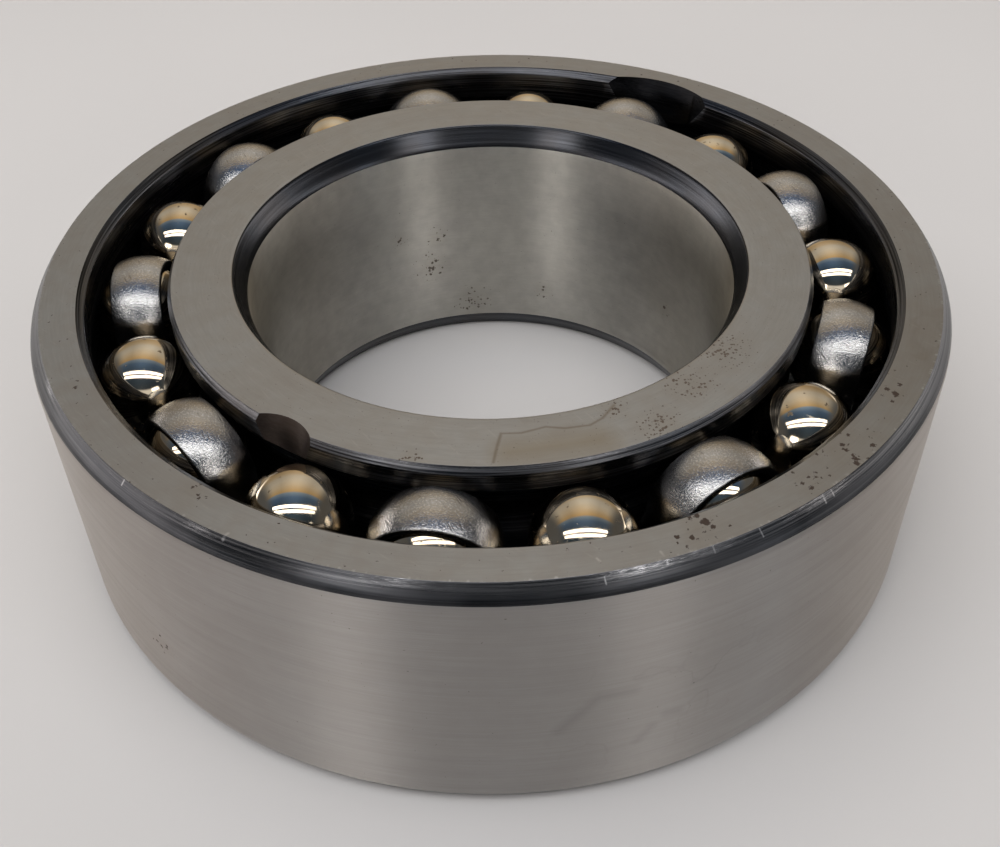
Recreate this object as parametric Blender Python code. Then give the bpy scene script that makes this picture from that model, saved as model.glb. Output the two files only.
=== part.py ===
"""Double-row angular contact ball bearing with filling notches and strap cages.

The origin is the middle of the bearing and +Z is its axis. Angles round the
bearing start at -Y and grow towards +X. Lengths are in metres.
"""

from math import asin, atan2, cos, hypot, pi, radians, sin, sqrt, tau

import bmesh
import bpy
from mathutils import Matrix, Vector

# Boundary sizes
BORE = 0.065
OUTSIDE = 0.120
WIDTH = 0.0381

# Balls and raceways
BALL = 0.0127
RACE_GAP = 0.0003
INNER_WALL = 0.00805
ROW_DEPTH = 0.0080
CONTACT_ANGLE = radians(25)
FIRST_OPEN_BALL = radians(11.8)

# Height of each land above the bottom of its groove
OUTER_LIP = 0.0008
INNER_LIP = 0.00205
INNER_RIB = 0.0010

# Corner chamfers, each radial then axial
OUTER_CORNER = (0.00157, 0.0020)
OUTER_MOUTH = (0.00088, 0.00088)
INNER_MOUTH = (0.00056, 0.00087)
BORE_CORNER = (0.00168, 0.0030)

# Pressed strap cages
STRAP_SHEET = 0.0007
STRAP_WIDTH = 0.0066
POCKET_GAP = 0.00035
POCKET_SIDE_GAP = 0.0007
RIB_GAP = 0.0004
WEB_ROOM = 0.0009

# Filling notches: depth past the face's edge, depth left at the groove, width
OUTER_NOTCH = (0.00157, 0.0005, 0.0130)
INNER_NOTCH = (0.00144, 0.0007, 0.0079)
OUTER_NOTCH_ANGLE = radians(148.5)
INNER_NOTCH_ANGLE = radians(-34.3)
NOTCH_OVERRUN = 0.003

# Smoothness
RING_STEPS = 60
GROOVE_STEPS = 4
BALL_SEGMENTS = 12
BALL_RINGS = 6
CUTTER_STEPS = 48
STRAP_ARC_STEPS = 4
STRAP_LANES = 4

# Derived sizes
FACE = WIDTH / 2
GROOVE = BALL / 2 + RACE_GAP
PITCH = BORE / 2 + INNER_WALL + GROOVE
ROW_HEIGHT = FACE - ROW_DEPTH
OUTER_LAND = PITCH + GROOVE - OUTER_LIP
OUTER_RIB_LAND = PITCH + STRAP_WIDTH / 2 + RIB_GAP
INNER_LAND = PITCH - GROOVE + INNER_LIP
INNER_RIB_LAND = PITCH - GROOVE + INNER_RIB
POCKET = BALL / 2 + POCKET_GAP
POCKET_BACK = POCKET + STRAP_SHEET
POCKET_STRETCH = (BALL / 2 + POCKET_SIDE_GAP) / POCKET
BALL_ROOM = 2 * POCKET_BACK + WEB_ROOM
BALL_PAIRS = int(tau * PITCH / (2 * BALL_ROOM))
BALLS = 2 * BALL_PAIRS
BALL_STEP = tau / BALLS


def steel(name, colour, roughness):
    """A bare steel finish."""
    material = bpy.data.materials.new(name)
    material.use_nodes = True
    shader = material.node_tree.nodes["Principled BSDF"]
    shader.inputs["Base Color"].default_value = (*colour, 1.0)
    shader.inputs["Roughness"].default_value = roughness
    shader.inputs["Metallic"].default_value = 1.0
    return material


def around(radius, angle, height=0.0):
    """The point at a radius, an angle round the bearing and a height."""
    return Vector((radius * sin(angle), -radius * cos(angle), height))


def mesh_object(name, mesh, material):
    """Put a mesh in the scene as a smooth-shaded object."""
    if not mesh.materials:
        mesh.materials.append(material)
        mesh.shade_smooth()
        mesh.set_sharp_from_angle(angle=radians(35))
    part = bpy.data.objects.new(name, mesh)
    bpy.context.collection.objects.link(part)
    return part


def groove_height(radius):
    """How far from the row's plane the groove's wall is at a radius."""
    return sqrt(GROOVE ** 2 - (radius - PITCH) ** 2)


def groove(side, lip_land, rib_land):
    """Groove outline from its lip to its rib; side is 1 outwards, -1 inwards."""
    lip = atan2(groove_height(lip_land), side * (lip_land - PITCH))
    rib = -atan2(groove_height(rib_land), side * (rib_land - PITCH))
    points = []
    for step in range(GROOVE_STEPS + 1):
        turn = lip + (rib - lip) * step / GROOVE_STEPS
        radius = PITCH + side * GROOVE * cos(turn)
        points.append((radius, ROW_HEIGHT + GROOVE * sin(turn)))
    return points


def mirrored(upper):
    """Join an upper outline, listed from the top down, to its mirror image."""
    lower = [(radius, -height) for radius, height in reversed(upper)]
    return upper + lower


def revolved(name, outline, material):
    """Turn a closed outline of radius and height points round the axis."""
    form = bmesh.new()
    corners = [form.verts.new((radius, 0.0, height)) for radius, height in outline]
    edges = [form.edges.new(pair) for pair in zip(corners, corners[1:] + corners[:1])]
    bmesh.ops.spin(
        form, geom=corners + edges, axis=(0, 0, 1), cent=(0, 0, 0),
        angle=tau, steps=RING_STEPS, use_merge=True)
    bmesh.ops.recalc_face_normals(form, faces=form.faces)
    mesh = bpy.data.meshes.new(name)
    form.to_mesh(mesh)
    form.free()
    return mesh_object(name, mesh, material)


def notch_cutter(name, side, edge, land, sizes, angle, end):
    """A slanting round cutter that opens one face for the balls.

    It is deepest at the face and shallower where it breaks into the groove.
    side is 1 to cut outwards and -1 inwards; end is 1 for the upper face.
    """
    face_depth, groove_depth, width = sizes
    face_radius = edge + side * face_depth
    lip_radius = land + side * groove_depth
    lip_height = ROW_HEIGHT + groove_height(lip_radius)
    slant = atan2(face_radius - lip_radius, FACE - lip_height)
    depth = face_depth * cos(slant)
    cutter_radius = (width ** 2 / 4 + depth ** 2) / (2 * depth)
    reach = hypot(face_radius - lip_radius, FACE - lip_height)
    length = reach + 2 * NOTCH_OVERRUN
    middle = Vector((
        (face_radius + lip_radius) / 2 - side * cutter_radius * cos(slant), 0.0,
        (FACE + lip_height) / 2 + side * cutter_radius * sin(slant)))
    form = bmesh.new()
    bmesh.ops.create_cone(
        form, cap_ends=True, segments=CUTTER_STEPS, depth=length,
        radius1=cutter_radius, radius2=cutter_radius)
    place = Matrix.Rotation(angle - pi / 2, 4, "Z") @ Matrix.Translation(middle)
    place = place @ Matrix.Rotation(slant, 4, "Y")
    bmesh.ops.transform(form, matrix=place, verts=form.verts)
    if end < 0:
        bmesh.ops.scale(form, vec=(1, 1, -1), verts=form.verts)
        bmesh.ops.reverse_faces(form, faces=form.faces)
    mesh = bpy.data.meshes.new(name)
    form.to_mesh(mesh)
    form.free()
    cutter = bpy.data.objects.new(name, mesh)
    bpy.context.collection.objects.link(cutter)
    cutter.hide_render = True
    cutter.display_type = "WIRE"
    return cutter


def cut_notches(ring, side, edge, land, sizes, angle):
    """Cut the same filling notch into both faces of a ring."""
    for end, label in ((1, "upper"), (-1, "lower")):
        name = f"{ring.name}_notch_{label}"
        cut = ring.modifiers.new(name, "BOOLEAN")
        cut.object = notch_cutter(name, side, edge, land, sizes, angle, end)
        cut.operation = "DIFFERENCE"
        cut.solver = "EXACT"


def outer_ring(material):
    """Outer ring: plain outside, a low lip at each face and a rib between rows."""
    radius = OUTSIDE / 2
    edge = OUTER_LAND + OUTER_MOUTH[0]
    upper = [
        (radius, FACE - OUTER_CORNER[1]),
        (radius - OUTER_CORNER[0], FACE),
        (edge, FACE),
        (OUTER_LAND, FACE - OUTER_MOUTH[1]),
    ]
    upper += groove(1, OUTER_LAND, OUTER_RIB_LAND)
    ring = revolved("outer_ring", mirrored(upper), material)
    cut_notches(ring, 1, edge, OUTER_LAND, OUTER_NOTCH, OUTER_NOTCH_ANGLE)
    return ring


def inner_ring(material):
    """Inner ring: high lips at the faces take the load, with a low rib between."""
    radius = BORE / 2
    edge = INNER_LAND - INNER_MOUTH[0]
    upper = [
        (radius, FACE - BORE_CORNER[1]),
        (radius + BORE_CORNER[0], FACE),
        (edge, FACE),
        (INNER_LAND, FACE - INNER_MOUTH[1]),
    ]
    upper += groove(-1, INNER_LAND, INNER_RIB_LAND)
    ring = revolved("inner_ring", mirrored(upper), material)
    cut_notches(ring, -1, edge, INNER_LAND, INNER_NOTCH, INNER_NOTCH_ANGLE)
    return ring


def strap_path(over, under, span):
    """Side view of half a wave of the strap, as distance along and height.

    It leaves the crest over a covered ball on a quarter bend that hugs that
    ball, drops upright between the two balls, and sweeps under the open ball
    on a wider quarter bend. over and under are the heights of the two bends.
    """
    web = over * POCKET_STRETCH
    crest = []
    trough = []
    for step in range(STRAP_ARC_STEPS + 1):
        turn = pi / 2 * step / STRAP_ARC_STEPS
        crest.append((web * sin(turn), over * cos(turn)))
        trough.append((span - (span - web) * cos(turn), -under * sin(turn)))
    return crest + trough[1:]


def strap_line(offset, over_ball, under_ball, row_side):
    """One edge line of a strap, all the way round the bearing.

    offset is its distance from the pitch circle. The pockets are spherical, so
    a line nearer the strap's edge bends on a smaller arc.
    """
    radius = PITCH + offset
    over = sqrt(over_ball ** 2 - offset ** 2)
    under = sqrt(under_ball ** 2 - offset ** 2)
    stretch = 2 * sqrt(radius * PITCH)
    span = 2 * stretch * sin(BALL_STEP / 4)
    path = strap_path(over, under, span)
    line = []
    for gap in range(BALLS):
        falling = gap % 2 == 0
        wave = path if falling else [(span - x, z) for x, z in reversed(path)]
        for along, height in wave[:-1]:
            if along < span / 2:
                turn = 2 * asin(along / stretch)
            else:
                turn = BALL_STEP - 2 * asin((span - along) / stretch)
            line.append(around(radius, gap * BALL_STEP + turn, row_side * height))
    return line


def cage(name, row_side, crest_angle, material):
    """A zig-zag strap over the covered balls and under the open ones."""
    lanes = []
    for lane in range(STRAP_LANES):
        offset = STRAP_WIDTH * (lane / (STRAP_LANES - 1) - 0.5)
        lanes.append(strap_line(offset, POCKET_BACK, POCKET, row_side))
    for lane in reversed(range(STRAP_LANES)):
        offset = STRAP_WIDTH * (lane / (STRAP_LANES - 1) - 0.5)
        lanes.append(strap_line(offset, POCKET, POCKET_BACK, row_side))
    form = bmesh.new()
    grid = [[form.verts.new(point) for point in line] for line in lanes]
    for line, beside in zip(grid, grid[1:] + grid[:1]):
        ahead = line[1:] + line[:1]
        beside_ahead = beside[1:] + beside[:1]
        for corners in zip(line, ahead, beside_ahead, beside):
            form.faces.new(corners)
    bmesh.ops.recalc_face_normals(form, faces=form.faces)
    mesh = bpy.data.meshes.new(name)
    form.to_mesh(mesh)
    form.free()
    strap = mesh_object(name, mesh, material)
    strap.location = (0, 0, row_side * ROW_HEIGHT)
    strap.rotation_euler = (0, 0, crest_angle)
    return strap


def ball_mesh():
    """The mesh that all balls share, with its poles on its rolling axis."""
    form = bmesh.new()
    bmesh.ops.create_uvsphere(
        form, u_segments=BALL_SEGMENTS, v_segments=BALL_RINGS, radius=BALL / 2)
    mesh = bpy.data.meshes.new("ball")
    form.to_mesh(mesh)
    form.free()
    return mesh


def ball(name, mesh, strap, angle, row_side, material):
    """One ball in its cage; its axis leans outwards by the contact angle."""
    piece = mesh_object(name, mesh, material)
    piece.parent = strap
    piece.location = around(PITCH, angle)
    piece.rotation_euler = (row_side * CONTACT_ANGLE, 0, angle)
    return piece


def row(label, row_side, crest_angle, strap_steel, mesh, ball_steel):
    """A cage with its balls. Each even ball is covered, each odd one is open."""
    strap = cage(f"cage_{label}", row_side, crest_angle, strap_steel)
    for number in range(BALLS):
        name = f"ball_{label}_{number + 1:02d}"
        ball(name, mesh, strap, number * BALL_STEP, row_side, ball_steel)


def clear_scene():
    """Remove the objects that a new file starts with."""
    for thing in list(bpy.data.objects):
        bpy.data.objects.remove(thing)


def build():
    """Model the whole bearing."""
    clear_scene()
    ring_steel = steel("ground_steel", (0.44, 0.42, 0.40), 0.32)
    strap_steel = steel("pressed_steel", (0.52, 0.49, 0.48), 0.38)
    ball_steel = steel("polished_steel", (0.72, 0.72, 0.73), 0.06)
    outer_ring(ring_steel)
    inner_ring(ring_steel)
    mesh = ball_mesh()
    upper_crest = FIRST_OPEN_BALL + BALL_STEP
    lower_crest = upper_crest + BALL_STEP / 2
    row("upper", 1, upper_crest, strap_steel, mesh, ball_steel)
    row("lower", -1, lower_crest, strap_steel, mesh, ball_steel)


build()
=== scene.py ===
# Double-row angular contact ball bearing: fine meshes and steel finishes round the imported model
from math import asin, atan2, cos, exp, hypot, pi, radians, sin, sqrt, tan, tau

import bmesh
import bpy
from mathutils import Matrix, Vector


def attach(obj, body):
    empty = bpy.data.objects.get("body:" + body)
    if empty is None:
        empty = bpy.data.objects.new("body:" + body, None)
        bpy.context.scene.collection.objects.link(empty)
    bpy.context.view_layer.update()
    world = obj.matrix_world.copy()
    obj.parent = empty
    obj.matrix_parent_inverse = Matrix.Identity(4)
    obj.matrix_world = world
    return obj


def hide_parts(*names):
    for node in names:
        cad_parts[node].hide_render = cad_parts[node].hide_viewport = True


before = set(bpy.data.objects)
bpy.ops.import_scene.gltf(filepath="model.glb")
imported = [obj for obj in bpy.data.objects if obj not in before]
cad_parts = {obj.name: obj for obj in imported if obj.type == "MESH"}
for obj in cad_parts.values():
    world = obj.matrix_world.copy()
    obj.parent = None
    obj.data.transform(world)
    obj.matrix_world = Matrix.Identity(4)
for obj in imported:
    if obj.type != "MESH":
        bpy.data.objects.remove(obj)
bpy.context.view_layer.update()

mm = 0.001

# Sizes that all the pieces share, in metres. The row height is that of the upper row
bearing = {
    "bore": 0.065,
    "outside": 0.120,
    "face": 0.01905,
    "ball": 0.0127,
    "groove": 0.00665,
    "pitch": 0.0472,
    "rowHeight": 0.01105,
    "balls": 18,
    "upperCrest": radians(31.8),
    "lowerCrest": radians(41.8),
}


# Helpers for node trees

def addNode(tree, kind, inputs=None, **settings):
    node = tree.nodes.new(kind)
    for name, value in settings.items():
        setattr(node, name, value)
    for key, value in (inputs or {}).items():
        plug(tree, node, key, value)
    return node


def plug(tree, node, key, value):
    socket = node.inputs[key]
    if isinstance(value, bpy.types.NodeSocket):
        tree.links.new(value, socket)
    elif socket.type == "RGBA" and len(value) == 3:
        socket.default_value = (*value, 1.0)
    else:
        socket.default_value = value


def calc(tree, operation, *values, clamp=False):
    inputs = dict(enumerate(values))
    return addNode(tree, "ShaderNodeMath", inputs, operation=operation, use_clamp=clamp).outputs[0]


def vectorCalc(tree, operation, *values):
    node = addNode(tree, "ShaderNodeVectorMath", operation=operation)
    names = (0, "Scale") if operation == "SCALE" else (0, 1)
    for key, value in zip(names, values):
        plug(tree, node, key, value)
    return node.outputs["Value" if operation in ("DISTANCE", "LENGTH", "DOT_PRODUCT") else "Vector"]


def remap(tree, value, low, high, newLow=0.0, newHigh=1.0, smooth=False):
    inputs = {"Value": value, "From Min": low, "From Max": high, "To Min": newLow, "To Max": newHigh}
    kind = "SMOOTHSTEP" if smooth else "LINEAR"
    return addNode(tree, "ShaderNodeMapRange", inputs, interpolation_type=kind).outputs[0]


def mixColour(tree, factor, first, second):
    node = addNode(tree, "ShaderNodeMix", data_type="RGBA")
    plug(tree, node, 0, factor)
    plug(tree, node, 6, first)
    plug(tree, node, 7, second)
    return node.outputs[2]


def layer(tree, under, over, mask, strength):
    # One colour laid over another where the mask is
    return mixColour(tree, calc(tree, "MULTIPLY", mask, strength), under, over)


def startGroup(name, inputs, outputs):
    # An input is a number, a vector, or None for a vector that is always plugged in
    group = bpy.data.node_groups.new(name, "ShaderNodeTree")
    for label, value in inputs.items():
        kind = "Float" if isinstance(value, float) else "Vector"
        socket = group.interface.new_socket(label, in_out="INPUT", socket_type=f"NodeSocket{kind}")
        if value is not None:
            socket.default_value = value
    for label, kind in outputs.items():
        group.interface.new_socket(label, in_out="OUTPUT", socket_type=f"NodeSocket{kind}")
    return group, group.nodes.new("NodeGroupInput").outputs, group.nodes.new("NodeGroupOutput")


def place(tree, group, inputs=None):
    return addNode(tree, "ShaderNodeGroup", inputs, node_tree=group).outputs


# Effects that several finishes share. Lengths are in millimetres

def makePolarFrame():
    # Where a point is round the bearing's axis. Around has no seam
    outputs = {"Position": "Vector", "Around": "Vector", "Radius": "Float", "Height": "Float"}
    group, _, out = startGroup("polarFrame", {}, outputs)
    spot = vectorCalc(group, "SCALE", addNode(group, "ShaderNodeTexCoord").outputs["Object"], 1 / mm)
    flat = vectorCalc(group, "MULTIPLY", spot, (1.0, 1.0, 0.0))
    plug(group, out, "Position", spot)
    plug(group, out, "Around", vectorCalc(group, "NORMALIZE", flat))
    plug(group, out, "Radius", vectorCalc(group, "LENGTH", flat))
    plug(group, out, "Height", addNode(group, "ShaderNodeSeparateXYZ", {0: spot}).outputs[2])
    return group


def makeTurnedLines():
    # Fine lines that a lathe or a grinding wheel leaves round the axis, and wider bands of the same
    inputs = {"Around": None, "Radius": 0.0, "Height": 0.0, "Lines per mm": 5.0, "Breaks": 6.0, "Softness": 0.2}
    group, given, out = startGroup("turnedLines", inputs, {"Lines": "Float", "Bands": "Float"})
    bandShare = 0.22  # bands for each line
    arc = vectorCalc(group, "SCALE", given["Around"], given["Breaks"])
    across = calc(group, "MULTIPLY", given["Radius"], given["Lines per mm"])
    up = calc(group, "MULTIPLY", given["Height"], given["Lines per mm"])
    point = vectorCalc(group, "ADD", arc, addNode(group, "ShaderNodeCombineXYZ", {2: across}).outputs[0])
    fine = addNode(group, "ShaderNodeTexNoise", {
        "Vector": point, "W": up, "Scale": 1.0, "Detail": 2.0, "Roughness": 0.6}, noise_dimensions="4D")
    wide = addNode(group, "ShaderNodeTexNoise", {
        "Vector": vectorCalc(group, "SCALE", point, bandShare), "W": calc(group, "MULTIPLY", up, bandShare),
        "Scale": 1.0, "Detail": 1.0}, noise_dimensions="4D")
    least = calc(group, "SUBTRACT", 0.5, given["Softness"])
    most = calc(group, "ADD", 0.5, given["Softness"])
    plug(group, out, "Lines", remap(group, fine.outputs[0], least, most))
    plug(group, out, "Bands", remap(group, wide.outputs[0], 0.35, 0.65))
    return group


def makeFineScratches():
    # Short straight scratches: cells pulled long and thin, of which only some are kept
    inputs = {"Position": None, "Turn": (0.0, 0.0, 0.6), "Length": 3.0, "Width": 0.12, "Amount": 0.3}
    group, given, out = startGroup("fineScratches", inputs, {"Mask": "Float"})
    lean = addNode(group, "ShaderNodeVectorRotate", {
        "Vector": given["Position"], "Rotation": given["Turn"]}, rotation_type="EULER_XYZ").outputs[0]
    long = calc(group, "DIVIDE", 1.0, given["Length"])
    thin = calc(group, "DIVIDE", 0.3, given["Width"])
    squeeze = addNode(group, "ShaderNodeCombineXYZ", {0: long, 1: thin, 2: long}).outputs[0]
    cells = addNode(group, "ShaderNodeTexVoronoi", {
        "Vector": vectorCalc(group, "MULTIPLY", lean, squeeze), "Scale": 1.0}).outputs
    kept = addNode(group, "ShaderNodeSeparateColor", {0: cells["Color"]}).outputs[0]
    kept = calc(group, "LESS_THAN", kept, given["Amount"])
    line = remap(group, cells["Distance"], 0.34, 0.12)
    plug(group, out, "Mask", calc(group, "MULTIPLY", line, kept))
    return group


def makeRustPits():
    # Small ragged pits, most of them tiny. Amount is how far each cell of the pattern is eaten
    inputs = {"Position": None, "Pits per mm": 1.2, "Amount": 0.0}
    group, given, out = startGroup("rustPits", inputs, {"Mask": "Float"})
    point = vectorCalc(group, "SCALE", given["Position"], given["Pits per mm"])
    ragged = addNode(group, "ShaderNodeTexNoise", {"Vector": point, "Scale": 3.1, "Detail": 3.0})
    shake = vectorCalc(group, "SUBTRACT", ragged.outputs["Color"], (0.5, 0.5, 0.5))
    shaken = vectorCalc(group, "ADD", point, vectorCalc(group, "SCALE", shake, 0.85))
    cells = addNode(group, "ShaderNodeTexVoronoi", {"Vector": shaken, "Scale": 1.0}).outputs
    chance = addNode(group, "ShaderNodeSeparateColor", {0: cells["Color"]}).outputs[0]
    size = calc(group, "MULTIPLY", given["Amount"], calc(group, "POWER", chance, 2.2))
    size = calc(group, "MULTIPLY", size, 1.05)
    inner = calc(group, "MULTIPLY", size, 0.8)
    outer = calc(group, "ADD", size, 0.01)
    pit = remap(group, cells["Distance"], inner, outer, 1.0, 0.0)
    there = calc(group, "GREATER_THAN", size, 0.05)
    plug(group, out, "Mask", calc(group, "MULTIPLY", pit, there))
    return group


def makeSpotMask():
    # 1 at a place and 0 at a distance from it
    inputs = {"Position": None, "Centre": (0.0, 0.0, 0.0), "Reach": 4.0, "Before": 0.0}
    group, given, out = startGroup("spotMask", inputs, {"Mask": "Float"})
    gap = vectorCalc(group, "DISTANCE", given["Position"], given["Centre"])
    near = remap(group, gap, given["Reach"], 0.0)
    plug(group, out, "Mask", calc(group, "MAXIMUM", near, given["Before"]))
    return group


def makeStrokeMask():
    # 1 along a straight stroke and 0 at its width from it. Way leads from its start to its end
    inputs = {"Position": None, "Start": (0.0, 0.0, 0.0), "Way": (1.0, 0.0, 0.0), "Width": 0.3, "Before": 0.0}
    group, given, out = startGroup("strokeMask", inputs, {"Mask": "Float"})
    gone = vectorCalc(group, "SUBTRACT", given["Position"], given["Start"])
    along = vectorCalc(group, "DOT_PRODUCT", gone, given["Way"])
    length = vectorCalc(group, "DOT_PRODUCT", given["Way"], given["Way"])
    part = calc(group, "DIVIDE", along, length, clamp=True)
    gap = vectorCalc(group, "DISTANCE", gone, vectorCalc(group, "SCALE", given["Way"], part))
    near = remap(group, gap, given["Width"], 0.0)
    plug(group, out, "Mask", calc(group, "MAXIMUM", near, given["Before"]))
    return group


def makeFilm():
    # Oil, fingerprints and tarnish that drift over a surface, and the line where they end
    inputs = {"Position": None, "Size in mm": 12.0, "Detail": 3.0}
    group, given, out = startGroup("film", inputs, {"Mask": "Float", "Edge": "Float"})
    point = vectorCalc(group, "SCALE", given["Position"], calc(group, "DIVIDE", 1.0, given["Size in mm"]))
    cloud = addNode(group, "ShaderNodeTexNoise", {
        "Vector": point, "Scale": 1.0, "Detail": given["Detail"], "Roughness": 0.55}).outputs[0]
    off = calc(group, "ABSOLUTE", calc(group, "SUBTRACT", cloud, 0.56))
    plug(group, out, "Mask", remap(group, cloud, 0.35, 0.68))
    plug(group, out, "Edge", remap(group, off, 0.022, 0.0))
    return group


def makeEdgeNicks():
    # Bright metal where a turned edge has been knocked. The edge is a circle round the axis
    inputs = {"Around": None, "Radius": 0.0, "Height": 0.0, "Edge Radius": 58.0, "Edge Height": 19.0,
              "Reach": 0.3, "Amount": 0.5, "Before": 0.0}
    group, given, out = startGroup("edgeNicks", inputs, {"Mask": "Float"})
    across = calc(group, "SUBTRACT", given["Radius"], given["Edge Radius"])
    up = calc(group, "SUBTRACT", calc(group, "ABSOLUTE", given["Height"]), given["Edge Height"])
    gap = vectorCalc(group, "LENGTH", addNode(group, "ShaderNodeCombineXYZ", {0: across, 1: up}).outputs[0])
    knock = addNode(group, "ShaderNodeTexNoise", {
        "Vector": given["Around"], "W": up, "Scale": 46.0, "Detail": 3.0, "Roughness": 0.75},
        noise_dimensions="4D").outputs[0]
    level = calc(group, "SUBTRACT", 0.8, calc(group, "MULTIPLY", given["Amount"], 0.42))
    knock = calc(group, "SUBTRACT", knock, level)
    knock = calc(group, "MULTIPLY", knock, 7.0, clamp=True)
    near = remap(group, gap, given["Reach"], 0.0)
    mask = calc(group, "MULTIPLY", calc(group, "SQRT", near), knock)
    plug(group, out, "Mask", calc(group, "MAXIMUM", mask, given["Before"]))
    return group


def makeGrain():
    # Tiny dimples, such as pressing leaves on sheet steel, and where on them a painted glint goes
    inputs = {"Position": None, "Grains per mm": 3.0}
    group, given, out = startGroup("grain", inputs, {"Height": "Float", "Painted Glint": "Float"})
    point = vectorCalc(group, "SCALE", given["Position"], given["Grains per mm"])
    rough = addNode(group, "ShaderNodeTexNoise", {
        "Vector": point, "Scale": 1.0, "Detail": 2.0, "Roughness": 0.75}).outputs[0]
    plug(group, out, "Height", rough)
    plug(group, out, "Painted Glint", remap(group, rough, 0.5, 0.72))
    return group


polarFrame = makePolarFrame()
turnedLines = makeTurnedLines()
fineScratches = makeFineScratches()
rustPits = makeRustPits()
spotMask = makeSpotMask()
strokeMask = makeStrokeMask()
film = makeFilm()
edgeNicks = makeEdgeNicks()
grain = makeGrain()
print("effects ready:", len(bpy.data.node_groups), "node groups")


# Steel finishes of the rings, made from their values

def startMaterial(name):
    material = bpy.data.materials.new(name)
    material.use_nodes = True
    tree = material.node_tree
    return material, tree, tree.nodes["Principled BSDF"], place(tree, polarFrame)


def ringSpot(radius, degrees, height):
    # A place on the bearing. The turn counts from the front
    turn = radians(degrees)
    return Vector((radius * sin(turn), -radius * cos(turn), height))


def nearSpots(tree, position, spots, before=0.0):
    mask = before
    for centre, reach in spots:
        inputs = {"Position": position, "Centre": centre, "Reach": reach, "Before": mask}
        mask = place(tree, spotMask, inputs)["Mask"]
    return mask


def linedColour(tree, polar, lines, clouds, look):
    # Turned lines, with oil and mottling over them
    drawn = lines["Lines"]
    if look["linesFade"]:  # fewer lines away from the face
        height = calc(tree, "ABSOLUTE", polar["Height"])
        drawn = calc(tree, "MULTIPLY", drawn, remap(tree, height, *look["linesFade"], 0.2, 1.0))
    colour = mixColour(tree, drawn, look["dark"], look["light"])
    colour = layer(tree, colour, look["filmColour"], clouds["Mask"], look["filmAmount"])
    if look["mottle"]:
        blotches = place(tree, film, {"Position": polar["Position"], "Size in mm": look["mottleSize"]})
        colour = layer(tree, colour, look["mottleColour"], blotches["Mask"], look["mottle"])
    return colour


def addScratches(tree, position, colour, look):
    for turn, length, width, amount, strength in look["scratches"]:
        inputs = {"Position": position, "Turn": turn, "Length": length, "Width": width, "Amount": amount}
        mask = place(tree, fineScratches, inputs)["Mask"]
        colour = layer(tree, colour, look["scratchColour"], mask, strength)
    return colour


def addStains(tree, position, clouds, colour, look):
    stain = nearSpots(tree, position, look["stains"])
    edge = calc(tree, "MULTIPLY", clouds["Edge"], stain)
    colour = layer(tree, colour, look["stainColour"], stain, look["stainAmount"])
    return layer(tree, colour, look["stainEdge"], edge, look["stainRim"])


def addStrokes(tree, position, colour, look):
    for strokes, strength, tone in look["strokes"]:
        mask = 0.0
        for first, last, width in strokes:
            start, end = ringSpot(*first), ringSpot(*last)
            inputs = {"Position": position, "Start": start, "Way": end - start, "Width": width, "Before": mask}
            mask = place(tree, strokeMask, inputs)["Mask"]
        colour = layer(tree, colour, tone, mask, strength)
    return colour


def knockedEdges(tree, polar, look):
    # Knocks along the edges, more of them near the worn spots
    worn = nearSpots(tree, polar["Position"], look["wornSpots"])
    mask = 0.0
    for radius, up, reach, amount in look["nicks"]:
        amount = calc(tree, "MULTIPLY_ADD", worn, look["wornAmount"], amount)
        mask = place(tree, edgeNicks, {
            "Around": polar["Around"], "Radius": polar["Radius"], "Height": polar["Height"],
            "Edge Radius": radius, "Edge Height": up, "Reach": reach, "Amount": amount, "Before": mask})["Mask"]
    return mask


def steelFinish(name, look):
    material, tree, shader, polar = startMaterial(name)
    position = polar["Position"]
    lines = place(tree, turnedLines, {
        "Around": polar["Around"], "Radius": polar["Radius"], "Height": polar["Height"],
        "Lines per mm": look["linesPerMm"], "Breaks": look["breaks"], "Softness": look["lineSoftness"]})
    clouds = place(tree, film, {"Position": position, "Size in mm": look["filmSize"]})
    rough = remap(tree, lines["Bands"], 0.0, 1.0, look["roughness"] - look["roughSpread"],
                  look["roughness"] + look["roughSpread"])
    rough = calc(tree, "ADD", rough, calc(tree, "MULTIPLY", clouds["Mask"], look["filmRough"]))
    metal = 1.0
    colour = linedColour(tree, polar, lines, clouds, look)
    colour = addScratches(tree, position, colour, look)
    if look["stains"]:
        colour = addStains(tree, position, clouds, colour, look)
    colour = addStrokes(tree, position, colour, look)
    if look["nicks"]:
        nick = knockedEdges(tree, polar, look)
        colour = mixColour(tree, nick, colour, look["nickColour"])
        rough = calc(tree, "MULTIPLY", rough, remap(tree, nick, 0.0, 1.0, 1.0, look["nickRough"]))
    if look["pits"]:
        amount = nearSpots(tree, position, look["pits"], look["pitsEverywhere"])
        pit = place(tree, rustPits, {
            "Position": position, "Amount": amount, "Pits per mm": look["pitsPerMm"]})["Mask"]
        colour = layer(tree, colour, look["haloColour"], amount, look["haloAmount"])
        colour = mixColour(tree, pit, colour, look["pitColour"])
        rough = calc(tree, "MAXIMUM", rough, calc(tree, "MULTIPLY", pit, look["pitRough"]))
        metal = remap(tree, pit, 0.0, 1.0, 1.0, look["pitMetal"])
    if look["bump"]:
        height = calc(tree, "MULTIPLY", lines["Lines"], look["lineDepth"])
        bump = addNode(tree, "ShaderNodeBump", {
            "Height": height, "Strength": look["bump"], "Distance": look["bumpDepth"] * mm})
        plug(tree, shader, "Normal", bump.outputs[0])
    plug(tree, shader, "Base Color", colour)
    plug(tree, shader, "Roughness", rough)
    plug(tree, shader, "Metallic", metal)
    plug(tree, shader, "Anisotropic", look["anisotropic"])
    plug(tree, shader, "Anisotropic Rotation", 0.25)  # lines run round the axis
    return material


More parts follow.
